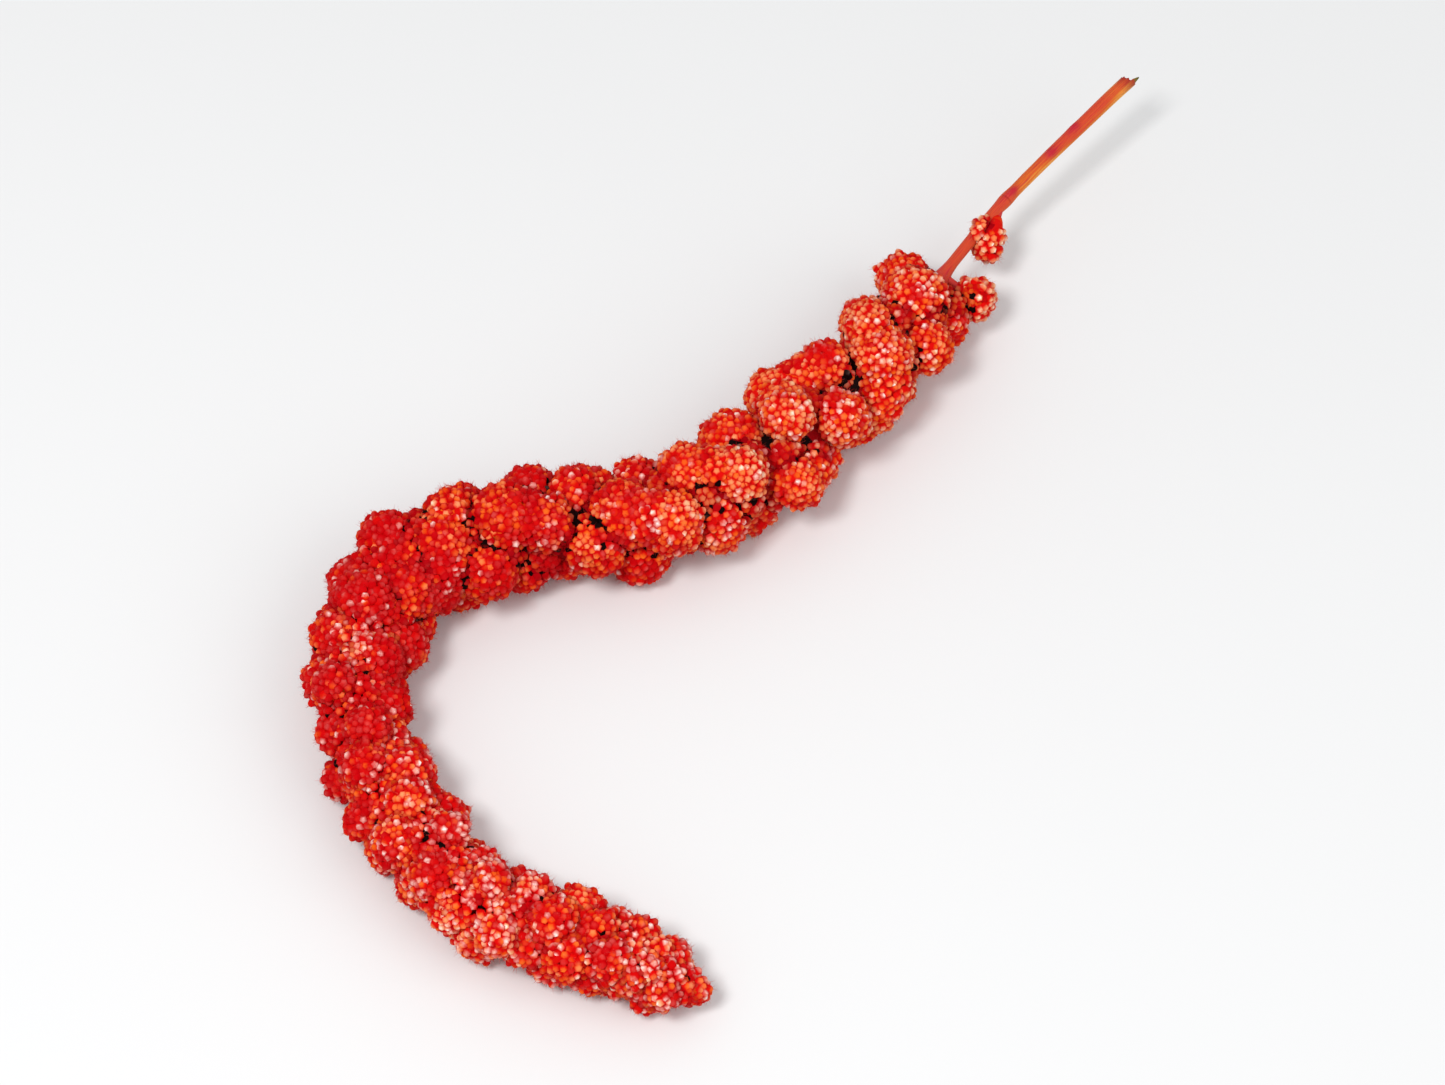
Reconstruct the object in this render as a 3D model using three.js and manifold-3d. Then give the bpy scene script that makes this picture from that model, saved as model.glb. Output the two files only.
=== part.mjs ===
// A dyed foxtail millet seed head, lying on a table. Millimetres, +Z up.
// The stalk is a cut straw. The head is its continuation, the rachis, covered all round with
// lobes: short branchlets packed with seeds, larger and looser at the base, small and dense at the tip.
import * as THREE from "three";
import { mergeVertices } from "three/addons/utils/BufferGeometryUtils.js";
import Module from "manifold-3d";

const { degToRad, lerp, smoothstep, clamp } = THREE.MathUtils;

// Centre line of the whole plant axis, from the cut end of the stalk to the tip of the head.
const AXIS_POINTS = [
  [84.3, 109.3, 20.0],
  [69.4, 93.8, 17.3],
  [56.2, 79.5, 14.5],
  [44.3, 63.3, 12.8],
  [33.1, 45.2, 12.6],
  [16.1, 25.7, 12.6],
  [0.2, 8.3, 12.8],
  [-19.9, -0.7, 12.8],
  [-40.3, -4.0, 12.7],
  [-57.7, -7.5, 12.4],
  [-69.1, -16.5, 12.0],
  [-73.6, -28.8, 11.3],
  [-73.9, -41.1, 10.6],
  [-70.5, -55.4, 10.3],
  [-56.6, -80.7, 10.1],
  [-45.9, -90.1, 9.9],
  [-33.8, -94.8, 9.4],
  [-5.3, -106.3, 6.8],
];

// Lengths along the centre line.
const STALK_LENGTH = 40;
const BARE_RACHIS_LENGTH = 26;
const MATING_GAP = 0.3;

// Stalk and rachis.
const STALK_CUT_RADIUS = 1.55;
const STALK_TOP_RADIUS = 1.25;
const RACHIS_RADIUS = 1.15;
const BAR_SIDES = 10;
const BAR_STEP = 10;

// Outer radius of the dense head against the share of its length, from base to tip.
const HEAD_OUTLINE = [
  [0.0, 11.6],
  [0.08, 12.4],
  [0.3, 12.8],
  [0.5, 12.5],
  [0.62, 10.6],
  [0.82, 10.1],
  [0.94, 8.5],
  [1.0, 5.0],
];
const CORE_SHARE = 0.55;
const END_ROUNDING = 4;

// Lobes of seeds, wound round the rachis by the golden angle.
const LOBE_COUNT = 108;
const LOBE_CROWDING = 0.45;
const LAST_LOBE_SHARE = 0.972;
const LOBE_SEED = 894;
const LOBE_FIRST_TURN = degToRad(103);
const LOBE_TURN = degToRad(137.508);
const LOBE_TURN_SPREAD = 0.3;
const LOBE_RADIUS_BASE = 7.1;
const LOBE_RADIUS_TIP = 4.8;
const LOBE_SHRINK_FROM = 0.4;
const LOBE_SHRINK_TO = 0.7;
const LOBE_SIZE_SPREAD = 0.18;
const LOBE_STRETCH = 1.06;
const LOBE_STRETCH_SPREAD = 0.12;
const LOBE_REACH_SPREAD = 0.13;
const LOBE_LEAN_BASE = degToRad(10);
const LOBE_LEAN_TIP = degToRad(24);

// Gaps between lobes, as shares of a lobe's radius.
const GAP_DEPTH = 0.36;
const GAP_WIDTH = 0.22;

// Seeds raised on a lattice over the lobes, larger than life; their rise shrinks with the head's radius.
const LATTICE_STEP = 2.02;
const LATTICE_COLUMNS = 39;
const LATTICE_JITTER = 0.16;
const SEED_EVERY = 3;
const SEED_RISE = 0.055;
const SEED_HOLLOW = 0.034;

// Two small clusters on the bare rachis: root, centre of the cluster, its radius and half its length.
const SIDE_CLUSTERS = [
  { root: [55.7, 78.7, 14.5], centre: [53.6, 72.8, 12.2], radius: 2.9, half: 5.8 },
  { root: [43.0, 61.8, 12.8], centre: [49.6, 57.5, 10.2], radius: 4.4, half: 4.4 },
];
const CLUSTER_DETAIL = 2;
const CLUSTER_RISE = 1.08;
const CLUSTER_HOLLOW = 0.9;
const EDGE_POINT_FROM = degToRad(12);
const EDGE_POINT_TO = degToRad(30);
const PEDICEL_RADIUS = 0.8;
const PEDICEL_SIDES = 6;

// Table top that the head rests on.
const TABLE_SIZE = 400;
const TABLE_DEPTH = 40;

// Steps of the repeatable random numbers, and the distance at which equal corners are joined.
const ITEM_STRIDE = 127.1;
const DRAW_STRIDE = 311.7;
const SCRAMBLE = 43758.5453;
const WELD = 1e-5;

const wasm = await Module();
wasm.setup();

const axis = new THREE.CatmullRomCurve3(
  AXIS_POINTS.map((p) => new THREE.Vector3(...p)),
  false,
  "catmullrom",
);
const axisLength = axis.getLength();
const headStart = STALK_LENGTH + BARE_RACHIS_LENGTH;
const headLength = axisLength - headStart;

// A repeatable number from -1 to 1 for an item and a draw.
function spread(item, draw) {
  const x = Math.sin(item * ITEM_STRIDE + draw * DRAW_STRIDE) * SCRAMBLE;
  return 2 * (x - Math.floor(x)) - 1;
}

function outlineRadius(share) {
  const found = HEAD_OUTLINE.findIndex((p) => p[0] >= share);
  const i = found < 0 ? HEAD_OUTLINE.length - 1 : Math.max(found, 1);
  const [s0, r0] = HEAD_OUTLINE[i - 1];
  const [s1, r1] = HEAD_OUTLINE[i];
  return lerp(r0, r1, clamp((share - s0) / (s1 - s0), 0, 1));
}

// Point, direction, up and side of the centre line at a length from the cut end.
function station(length) {
  const u = clamp(length / axisLength, 0, 1);
  const along = axis.getTangentAt(u);
  const up = new THREE.Vector3(0, 0, 1).addScaledVector(along, -along.z).normalize();
  const side = new THREE.Vector3().crossVectors(along, up);
  return { point: axis.getPointAt(u), along, up, side };
}

function outward({ up, side }, turn) {
  return up.clone().multiplyScalar(Math.cos(turn)).addScaledVector(side, Math.sin(turn));
}

function solid(geometry) {
  geometry.deleteAttribute("normal");
  geometry.deleteAttribute("uv");
  const merged = mergeVertices(geometry, WELD);
  return new wasm.Manifold(
    new wasm.Mesh({
      numProp: 3,
      vertProperties: merged.getAttribute("position").array,
      triVerts: new Uint32Array(merged.index.array),
    }),
  );
}

function geometryOf(body) {
  const mesh = body.getMesh();
  return new THREE.BufferGeometry()
    .setAttribute("position", new THREE.BufferAttribute(mesh.vertProperties, 3))
    .setIndex(new THREE.BufferAttribute(mesh.triVerts, 1))
    .toNonIndexed();
}

// A round bar on the centre line, its radius changing evenly from one length to another.
function bar(from, to, radiusFrom, radiusTo) {
  const count = Math.ceil((to - from) / BAR_STEP);
  const profile = [new THREE.Vector2(0, from)];
  for (let i = 0; i <= count; i++) {
    profile.push(new THREE.Vector2(lerp(radiusFrom, radiusTo, i / count), lerp(from, to, i / count)));
  }
  profile.push(new THREE.Vector2(0, to));
  const geometry = new THREE.LatheGeometry(profile, BAR_SIDES);
  const position = geometry.getAttribute("position");
  for (let i = 0; i < position.count; i++) {
    const { point, up, side } = station(position.getY(i));
    point.addScaledVector(side, position.getX(i)).addScaledVector(up, position.getZ(i));
    position.setXYZ(i, point.x, point.y, point.z);
  }
  return geometry;
}

// A lobe is an egg beside the centre line, leaning towards the tip.
function lobe(i) {
  const t = (i + 0.5) / LOBE_COUNT;
  const share = LAST_LOBE_SHARE * (t + LOBE_CROWDING * t * (1 - t));
  const place = station(headStart + headLength * share);
  const draw = (k) => spread(i + LOBE_SEED, k);
  const out = outward(place, LOBE_FIRST_TURN + i * LOBE_TURN + LOBE_TURN_SPREAD * draw(1));
  const lean = lerp(LOBE_LEAN_BASE, LOBE_LEAN_TIP, share);
  const shrink = smoothstep(share, LOBE_SHRINK_FROM, LOBE_SHRINK_TO);
  const size = Math.min(lerp(LOBE_RADIUS_BASE, LOBE_RADIUS_TIP, shrink), outlineRadius(share) / 2);
  const radius = size * (1 + LOBE_SIZE_SPREAD * draw(2));
  const half = radius * (LOBE_STRETCH + LOBE_STRETCH_SPREAD * draw(3));
  const reach = outlineRadius(share) * (1 + LOBE_REACH_SPREAD * draw(4));
  const direction = out.clone().multiplyScalar(Math.cos(lean)).addScaledVector(place.along, Math.sin(lean));
  const outerHalf = Math.hypot(half * Math.cos(lean), radius * Math.sin(lean));
  const centre = place.point.addScaledVector(out, Math.max(reach - outerHalf, 0));
  const turn = new THREE.Quaternion().setFromUnitVectors(new THREE.Vector3(0, 0, 1), direction);
  const pose = new THREE.Matrix4().compose(centre, turn, new THREE.Vector3(radius, radius, half));
  return { share, radius, inverse: pose.invert() };
}

const lobes = Array.from({ length: LOBE_COUNT }, (_, i) => lobe(i));

// Where a ray from a point leaves a lobe, or null where it misses.
function exit({ inverse, radius }, point, direction) {
  const p = point.clone().applyMatrix4(inverse);
  const d = point.clone().add(direction).applyMatrix4(inverse).sub(p);
  const [a, b, c] = [d.dot(d), p.dot(d), p.dot(p) - 1];
  const root = b * b - a * c;
  if (root < 0) return null;
  const distance = (Math.sqrt(root) - b) / a;
  const hit = p.addScaledVector(d, distance);
  const normal = hit.applyMatrix3(new THREE.Matrix3().setFromMatrix4(inverse).transpose()).normalize();
  return { distance, normal, radius };
}

// A point of the head's surface: on the furthest lobe out from the centre line, or on the core between.
function surfacePoint(length, turn, relief) {
  const place = station(length);
  const out = outward(place, turn);
  const share = (length - headStart) / headLength;
  const ending = clamp((axisLength - length) / END_ROUNDING, 0, 1);
  const core = CORE_SHARE * outlineRadius(share) * Math.sqrt(ending);
  const rise = relief * outlineRadius(share);
  const near = lobes.filter((l) => Math.abs(l.share - share) * headLength < 2 * LOBE_RADIUS_BASE);
  const exits = near.map((l) => exit(l, place.point, out)).filter((e) => e && e.distance > core);
  exits.sort((a, b) => b.distance - a.distance);
  const [first, second] = exits;
  if (!first) return place.point.addScaledVector(out, core + rise);
  const lead = second ? (first.distance - second.distance) / (GAP_WIDTH * first.radius) : Infinity;
  const gap = GAP_DEPTH * first.radius * Math.exp(-lead * lead);
  const lift = first.normal.add(out).setLength(rise);
  return place.point.addScaledVector(out, Math.max(first.distance - gap, core)).add(lift);
}

// The head's outside: a lattice of points wound round the centre line, every third one a raised seed.
function seedSurface() {
  const from = headStart - END_ROUNDING;
  const rows = Math.round((axisLength - from) / LATTICE_STEP);
  const step = (axisLength - from) / rows;
  const points = [];
  const at = (i, j) => points[i][(j + LATTICE_COLUMNS) % LATTICE_COLUMNS];
  for (let i = 0; i < rows; i++) {
    points.push([]);
    for (let j = 0; j < LATTICE_COLUMNS; j++) {
      const item = i * LATTICE_COLUMNS + j;
      const isSeed = (j - Math.floor(i / 2) - i + SEED_EVERY * rows) % SEED_EVERY === 0;
      const row = i + 0.5 + LATTICE_JITTER * spread(item, 5);
      const column = j + (i % 2) / 2 + LATTICE_JITTER * spread(item, 6);
      const turn = (2 * Math.PI * column) / LATTICE_COLUMNS;
      points[i].push(surfacePoint(from + row * step, turn, isSeed ? SEED_RISE : -SEED_HOLLOW));
    }
  }
  const faces = [];
  for (let i = 0; i + 1 < rows; i++) {
    for (let j = 0; j < LATTICE_COLUMNS; j++) {
      const [a, b] = [at(i, j), at(i, j + 1)];
      const [c, d] = [at(i + 1, j), at(i + 1, j + 1)];
      if (i % 2) faces.push(a, d, c, a, b, d);
      else faces.push(a, b, c, b, d, c);
    }
  }
  const base = station(from).point;
  const tip = station(axisLength).point;
  for (let j = 0; j < LATTICE_COLUMNS; j++) {
    faces.push(base, at(0, j + 1), at(0, j), tip, at(rows - 1, j), at(rows - 1, j + 1));
  }
  return new THREE.BufferGeometry().setFromPoints(faces);
}

// A knobbly egg of seeds: its ball's corners and face centres are raised, the points on edges are hollows.
function cluster({ root, centre, radius, half }) {
  const corners = new THREE.IcosahedronGeometry(1, 0).getAttribute("position");
  const ball = new THREE.IcosahedronGeometry(1, CLUSTER_DETAIL);
  const position = ball.getAttribute("position");
  const point = new THREE.Vector3();
  const corner = new THREE.Vector3();
  for (let i = 0; i < position.count; i++) {
    point.fromBufferAttribute(position, i);
    let nearest = Math.PI;
    for (let j = 0; j < corners.count; j++) {
      nearest = Math.min(nearest, corner.fromBufferAttribute(corners, j).angleTo(point));
    }
    const isHollow = nearest > EDGE_POINT_FROM && nearest < EDGE_POINT_TO;
    point.setLength(isHollow ? CLUSTER_HOLLOW : CLUSTER_RISE);
    position.setXYZ(i, point.x, point.y, point.z);
  }
  const middle = new THREE.Vector3(...centre);
  const direction = middle.clone().sub(new THREE.Vector3(...root)).normalize();
  const turn = new THREE.Quaternion().setFromUnitVectors(new THREE.Vector3(0, 0, 1), direction);
  const pose = new THREE.Matrix4().compose(middle, turn, new THREE.Vector3(radius, radius, half));
  return ball.applyMatrix4(pose);
}

function pedicel({ root, centre }) {
  const path = new THREE.LineCurve3(new THREE.Vector3(...root), new THREE.Vector3(...centre));
  const length = path.getLength();
  const turn = new THREE.Quaternion().setFromUnitVectors(new THREE.Vector3(0, 1, 0), path.getTangent(0));
  const pose = new THREE.Matrix4().compose(path.getPoint(0.5), turn, new THREE.Vector3(1, 1, 1));
  const rod = new THREE.CylinderGeometry(PEDICEL_RADIUS, PEDICEL_RADIUS, length, PEDICEL_SIDES);
  return rod.applyMatrix4(pose);
}

function stalk() {
  return bar(0, STALK_LENGTH - MATING_GAP, STALK_CUT_RADIUS, STALK_TOP_RADIUS);
}

function seedHead() {
  const rachis = bar(STALK_LENGTH, headStart + END_ROUNDING, STALK_TOP_RADIUS, RACHIS_RADIUS);
  const clusters = SIDE_CLUSTERS.flatMap((c) => [cluster(c), pedicel(c)]);
  const whole = wasm.Manifold.union([seedSurface(), rachis, ...clusters].map(solid));
  const table = new THREE.BoxGeometry(TABLE_SIZE, TABLE_SIZE, TABLE_DEPTH).translate(0, 0, -TABLE_DEPTH / 2);
  return geometryOf(whole.subtract(solid(table)));
}

const strawColour = new THREE.MeshStandardMaterial({ color: 0xb5562a, roughness: 0.6, metalness: 0 });
const seedColour = new THREE.MeshStandardMaterial({ color: 0xb81f14, roughness: 0.5, metalness: 0 });

function named(name, geometry, material) {
  const mesh = new THREE.Mesh(geometry, material);
  mesh.name = name;
  return mesh;
}

const milletHead = new THREE.Group();
milletHead.add(named("stalk", stalk(), strawColour));
milletHead.add(named("seed_head", seedHead(), seedColour));

export default milletHead;
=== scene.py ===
from math import cos, radians, sin
import bpy
import numpy as np
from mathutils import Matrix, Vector


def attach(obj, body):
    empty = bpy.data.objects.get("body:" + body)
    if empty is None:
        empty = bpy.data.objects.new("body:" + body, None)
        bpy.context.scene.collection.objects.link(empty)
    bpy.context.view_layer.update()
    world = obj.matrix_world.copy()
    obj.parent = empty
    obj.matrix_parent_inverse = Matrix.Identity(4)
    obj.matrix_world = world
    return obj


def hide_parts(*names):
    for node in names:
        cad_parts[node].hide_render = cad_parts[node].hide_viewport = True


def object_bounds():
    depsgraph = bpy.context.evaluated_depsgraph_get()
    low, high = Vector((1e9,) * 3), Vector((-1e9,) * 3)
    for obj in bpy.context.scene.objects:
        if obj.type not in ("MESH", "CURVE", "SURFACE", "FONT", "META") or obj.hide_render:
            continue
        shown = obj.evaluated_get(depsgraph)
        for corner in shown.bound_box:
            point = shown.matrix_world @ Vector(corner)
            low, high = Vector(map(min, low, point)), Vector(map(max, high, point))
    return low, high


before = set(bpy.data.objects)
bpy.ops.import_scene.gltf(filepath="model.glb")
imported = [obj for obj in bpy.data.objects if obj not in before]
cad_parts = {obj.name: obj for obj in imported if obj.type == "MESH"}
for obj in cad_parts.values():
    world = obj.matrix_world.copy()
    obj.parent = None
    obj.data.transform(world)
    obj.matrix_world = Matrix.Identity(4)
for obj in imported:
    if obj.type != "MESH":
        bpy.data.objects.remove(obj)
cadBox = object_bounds()
print("frame loaded, nodes:", sorted(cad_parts))

mm = 0.001
goldenTurn = radians(137.508)
nearlyUpright = 0.9  # a direction with more Z than this
farOut = 9.0  # a depth in an egg that counts as well outside it
rng = np.random.default_rng(20)

# the line of stalk and rachis, cut end first, and the lengths along it, in mm as in the solids
plant = {
    "points": [
        (84.3, 109.3, 20.0), (69.4, 93.8, 17.3), (56.2, 79.5, 14.5), (44.3, 63.3, 12.8),
        (33.1, 45.2, 12.6), (16.1, 25.7, 12.6), (0.2, 8.3, 12.8), (-19.9, -0.7, 12.8),
        (-40.3, -4.0, 12.7), (-57.7, -7.5, 12.4), (-69.1, -16.5, 12.0), (-73.6, -28.8, 11.3),
        (-73.9, -41.1, 10.6), (-70.5, -55.4, 10.3), (-56.6, -80.7, 10.1), (-45.9, -90.1, 9.9),
        (-33.8, -94.8, 9.4), (-5.3, -106.3, 6.8),
    ],
    "steps": 300,  # from one point to the next
    "nudge": 0.4,  # to either side of a station, for its direction
    "stalkLength": 40.0,
    "bareRachis": 26.0,
    # radius of the head against the share of its length
    "outline": [(0.0, 11.6), (0.08, 12.4), (0.3, 12.8), (0.5, 12.5),
                (0.62, 10.6), (0.82, 10.1), (0.94, 8.5), (1.0, 5.0)],
}

# repeatable numbers, as in the solids: how a sine is scrambled, and a number for each draw
drawRule = {
    "itemStride": 127.1, "drawStride": 311.7, "scramble": 43758.5453,
    "lobeTurn": 1, "lobeSize": 2, "lobeStretch": 3, "lobeReach": 4, "innerSize": 5,
    "tone": 9, "pale": 11,
}


# each row divided by its own length
def unit(v):
    return v / np.linalg.norm(v, axis=-1, keepdims=True)


# low where t is 0, high where it is 1, straight between
def between(low, high, t):
    return low + (high - low) * t


# 0 up to low, 1 from high on, and 3t^2 - 2t^3 over the share t of the way between
def eased(x, low, high):
    t = np.clip((x - low) / (high - low), 0, 1)
    return t * t * (3 - 2 * t)


# 1 at 0 and falling off to both sides: e to the minus x squared
def bell(x):
    return np.exp(-(x**2))


# straight distance of two angles on a unit circle: twice the sine of half their difference
def chord(one, other):
    return np.sin((one - other) / 2) * 2


# a value at shares of a length, straight between the given pairs of share and value
def valueAlong(pairs, share):
    return np.interp(share, *np.array(pairs).T)


# first turned towards second: first times the cosine of the angle plus second times its sine
def turned(first, second, angle):
    return first * np.cos(angle)[..., None] + second * np.sin(angle)[..., None]


# equal steps round a full turn
def anglesRound(sides):
    return np.arange(sides) * 2 * np.pi / sides


# a repeatable number from -1 to 1: the fraction of a large multiple of a sine
def spread(item, draw):
    phase = item * drawRule["itemStride"] + drawRule[draw] * drawRule["drawStride"]
    x = np.sin(phase) * drawRule["scramble"]
    return 2 * (x - np.floor(x)) - 1


# cubic through every four points in turn, the line carried on straight past both ends
def centreLine(points, steps):
    p = np.array(points)
    p = np.vstack([2 * p[0] - p[1], p, 2 * p[-1] - p[-2]])
    t = np.linspace(0, 1, steps, endpoint=False)[None, :, None]
    a, b, c, d = (p[k:len(p) - 3 + k, None, :] for k in range(4))
    square = 2 * a - 5 * b + 4 * c - d
    cube = 3 * b - a - 3 * c + d
    curve = 0.5 * (2 * b + (c - a) * t + square * t**2 + cube * t**3)
    return np.vstack([curve.reshape(-1, 3), p[-2]])


line = centreLine(plant["points"], plant["steps"])
lineLength = np.concatenate([[0], np.cumsum(np.linalg.norm(np.diff(line, axis=0), axis=1))])
axisLength = lineLength[-1]
headStart = plant["stalkLength"] + plant["bareRachis"]
headLength = axisLength - headStart
print(f"line of {axisLength:.0f} mm, head of {headLength:.0f} mm")


# length from the cut end at shares of the head: its start plus the share of its length
def lengthAt(share):
    return headStart + headLength * share


# the other way: share of the head at lengths from the cut end
def shareAt(length):
    return (length - headStart) / headLength


# radius of the head at shares of its length, straight between the points of the outline
def outlineRadius(share):
    return valueAlong(plant["outline"], share)


# point, direction, up and side of the line at lengths from the cut end; up is Z less its part along
def station(length):
    length = np.clip(np.asarray(length, float), 0, axisLength)
    point, ahead, behind = (
        np.stack([np.interp(length + by, lineLength, line[:, k]) for k in range(3)], -1)
        for by in (0, plant["nudge"], -plant["nudge"]))
    along = unit(ahead - behind)
    up = unit(np.array([0, 0, 1.0]) - along * along[..., 2:])
    return point, along, up, np.cross(along, up)


# a cross section is carried along stations: each row of reach gives its radius at every angle round it
def tube(stations, reach):
    point, _, up, side = stations
    ring = turned(up[:, None], side[:, None], anglesRound(reach.shape[1])[None])
    return closedGrid(point[:, None] + ring * reach[..., None], point[0], point[-1])


# rows of a grid that closes round itself, two triangles to a cell, and a fan to a pole at each end
def closedGrid(rows, first, last):
    count, sides, _ = rows.shape
    points = np.vstack([rows.reshape(-1, 3), first, last])
    i, j = np.meshgrid(np.arange(count - 1), np.arange(sides), indexing="ij")
    a = i * sides + j
    b = i * sides + (j + 1) % sides
    c, d = a + sides, b + sides
    cells = [np.stack(corners, -1).reshape(-1, 3) for corners in ((a, b, d), (a, d, c))]
    j = np.arange(sides)
    k = (j + 1) % sides
    lastRow = (count - 1) * sides
    low = np.stack([np.full(sides, count * sides), k, j], -1)
    high = np.stack([np.full(sides, count * sides + 1), lastRow + j, lastRow + k], -1)
    return points, np.concatenate([*cells, low, high])


# a ball of unit size as rings from the lower pole to the upper, for stamping copies
def ballTemplate(sides, rings):
    polar = ((rings - np.arange(rings)) * np.pi / (rings + 1))[:, None]
    angle = anglesRound(sides)
    x = np.sin(polar) * np.cos(angle)
    y = np.sin(polar) * np.sin(angle)
    z = np.broadcast_to(np.cos(polar), x.shape)
    return closedGrid(np.stack([x, y, z], -1), np.array([0, 0, -1.0]), np.array([0, 0, 1.0]))


# two directions square to each row of v: the cross product with Z, or with X where v is upright,
# and the cross product of v and that
def squareTo(v):
    upright = np.abs(v[:, 2:]) >= nearlyUpright
    other = np.where(upright, np.array([[1.0, 0, 0]]), np.array([[0, 0, 1.0]]))
    first = unit(np.cross(other, v))
    return first, np.cross(v, first)


# copies of a template: each corner goes to place + its x, y, z along the copy's three own axes
def stamped(template, place, axisX, axisY, axisZ):
    points, faces = template
    x, y, z = (points[None, :, k, None] for k in range(3))
    copies = place[:, None] + axisX[:, None] * x + axisY[:, None] * y + axisZ[:, None] * z
    offsets = np.arange(len(place))[:, None, None] * len(points)
    return copies.reshape(-1, 3), (faces[None] + offsets).reshape(-1, 3)


# several meshes in one, the later faces counted on from the earlier points
def joined(parts):
    shift = np.cumsum([0] + [len(part[0]) for part in parts[:-1]])
    faces = np.vstack([part[1] + by for part, by in zip(parts, shift)])
    values = {key: np.concatenate([part[2][key] for part in parts]) for key in parts[0][2]}
    return np.vstack([part[0] for part in parts]), faces, values


# a mesh from corners in mm, triangles and a value for each corner by name, riding on the root body
def piece(name, points, faces, values, finish, slot, node):
    mesh = bpy.data.meshes.new(name)
    mesh.vertices.add(len(points))
    mesh.vertices.foreach_set("co", (points * mm).astype(np.float32).ravel())
    mesh.loops.add(faces.size)
    mesh.loops.foreach_set("vertex_index", faces.astype(np.int32).ravel())
    mesh.polygons.add(len(faces))
    mesh.polygons.foreach_set("loop_start", np.arange(0, faces.size, 3, dtype=np.int32))
    mesh.update(calc_edges=True)
    mesh.validate()
    for key, value in values.items():
        mesh.attributes.new(key, "FLOAT", "POINT").data.foreach_set("value", value.astype(np.float32))
    mesh.shade_smooth()
    made = bpy.data.objects.new(name, mesh)
    bpy.context.scene.collection.objects.link(made)
    mesh.materials.append(finish)
    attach(made, "root")
    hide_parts(node)
    print(f"{name}: {len(faces)} triangles")
    return made


# a node socket: + - and * on values add Math nodes, also with a number first, and node() adds any other
class Wire:
    def __init__(self, tree, socket=None):
        self.tree = tree
        self.socket = socket

    # a new node: its settings, then the values or links of its sockets; gives a wire from one output
    def node(self, kind, settings=None, sockets=None, out=0):
        made = self.tree.nodes.new(kind)
        for key, value in (settings or {}).items():
            if key == "stops":
                self.fillRamp(made.color_ramp, value)
            else:
                setattr(made, key, value)
        for key, value in (sockets or {}).items():
            self.feed(made.inputs[key], value)
        return Wire(self.tree, made.outputs[out])

    # a ramp's stops from pairs of place and colour
    def fillRamp(self, ramp, stops):
        while len(ramp.elements) < len(stops):
            ramp.elements.new(0.5)
        for element, (place, colour) in zip(ramp.elements, stops):
            element.position = place
            element.color = (*colour, 1)

    # a wire is linked to the socket, a number or colour is set on it
    def feed(self, socket, value):
        if isinstance(value, Wire):
            self.tree.links.new(value.socket, socket)
        else:
            socket.default_value = (*value, 1) if isinstance(value, tuple) else value

    # one Math node over two values
    def maths(self, operation, a, b):
        return self.node("ShaderNodeMath", {"operation": operation}, {0: a, 1: b})

    # this value kept from 0 to 1
    def clipped(self):
        return self.node("ShaderNodeClamp", {}, {0: self})

    # this value times a gain plus an offset
    def scaled(self, gain, offset):
        return self * gain + offset

    # the same, kept from 0 to 1
    def level(self, gain, offset):
        return self.scaled(gain, offset).clipped()

    # a colour: a where this value is 0, b where it is 1, through the node's colour sockets
    def blend(self, a, b):
        return self.node("ShaderNodeMix", {"data_type": "RGBA"}, {0: self, 6: a, 7: b}, out=2)

    # the operators, each one Math node
    def __add__(self, other):
        return self.maths("ADD", self, other)

    def __sub__(self, other):
        return self.maths("SUBTRACT", self, other)

    def __rsub__(self, other):
        return self.maths("SUBTRACT", other, self)

    def __mul__(self, other):
        return self.maths("MULTIPLY", self, other)

    __radd__ = __add__
    __rmul__ = __mul__


# a material with its fixed sockets set; gives the material, a wire to start from and the shader node
def newFinish(name, fixed):
    finish = bpy.data.materials.new(name)
    finish.use_nodes = True
    wire = Wire(finish.node_tree)
    shader = finish.node_tree.nodes["Principled BSDF"]
    for key, value in fixed.items():
        wire.feed(shader.inputs[key], value)
    return finish, wire, shader


# soft noise from 0 to 1, on Object coordinates unless another place is given
def noise(wire, scale, detail=2.0, place=None):
    place = place or wire.node("ShaderNodeTexCoord", out="Object")
    return wire.node("ShaderNodeTexNoise", {}, {"Vector": place, "Scale": scale, "Detail": detail})


# a value that the piece's own corners carry
def own(wire, name):
    return wire.node("ShaderNodeAttribute", {"attribute_name": name}, out="Fac")


# fine relief: a Bump node over a height
def bumped(wire, height, looks):
    sockets = {"Strength": looks["bump"], "Distance": looks["bumpDepth"], "Height": height}
    return wire.node("ShaderNodeBump", {}, sockets)


# lobes: eggs of seeds wound round the rachis, pairs run from base to tip
lobeRule = {
    "count": 108, "crowding": 0.45, "lastShare": 0.972, "seed": 894, "firstTurn": radians(103),
    "turnSpread": 0.3, "radius": (7.1, 4.8), "shrinkOver": (0.4, 0.7), "sizeSpread": 0.18,
    "stretch": 1.06, "stretchSpread": 0.12, "reachSpread": 0.13, "lean": (radians(10), radians(24)),
}


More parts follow.
